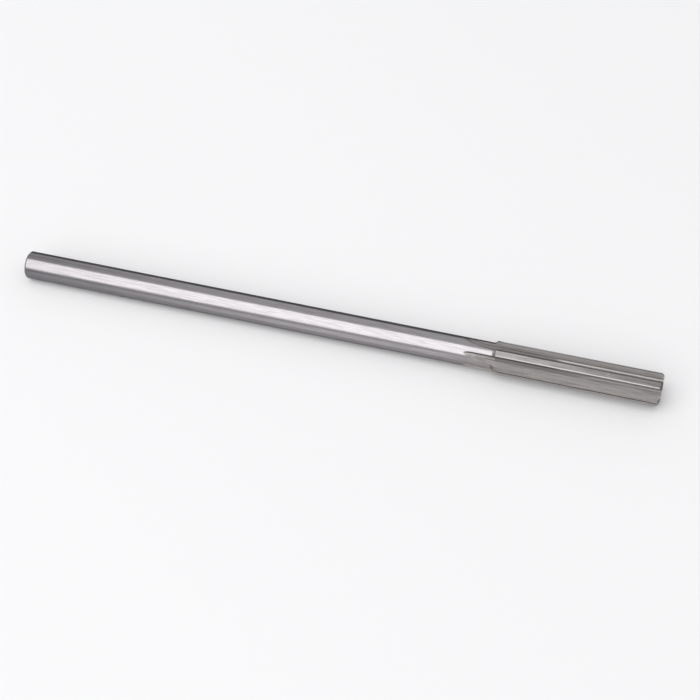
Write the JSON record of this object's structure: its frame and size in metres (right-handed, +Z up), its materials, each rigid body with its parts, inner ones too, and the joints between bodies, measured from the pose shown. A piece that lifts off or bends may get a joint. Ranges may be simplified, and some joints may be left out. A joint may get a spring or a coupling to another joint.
{
  "type": "machine reamer",
  "caption": "Straight-fluted machine reamer with a plain round shank, a beveled shoulder and a fluted head with relieved lands, for finishing drilled holes to size.",
  "frame": {"origin": "centre of the shank's end face, on the tool's axis", "axes": "+X along the tool from the shank's end to the cutting end, +Z up with the tool lying as it rests, on the two teeth beside its lowest flute"},
  "size_m": [0.1778, 0.0092, 0.0086],
  "materials": {
    "ground_steel": "ground bright, with grinding marks"
  },
  "bodies": {
    "root": {"reamer": "ground_steel"}
  },
  "joints": []
}
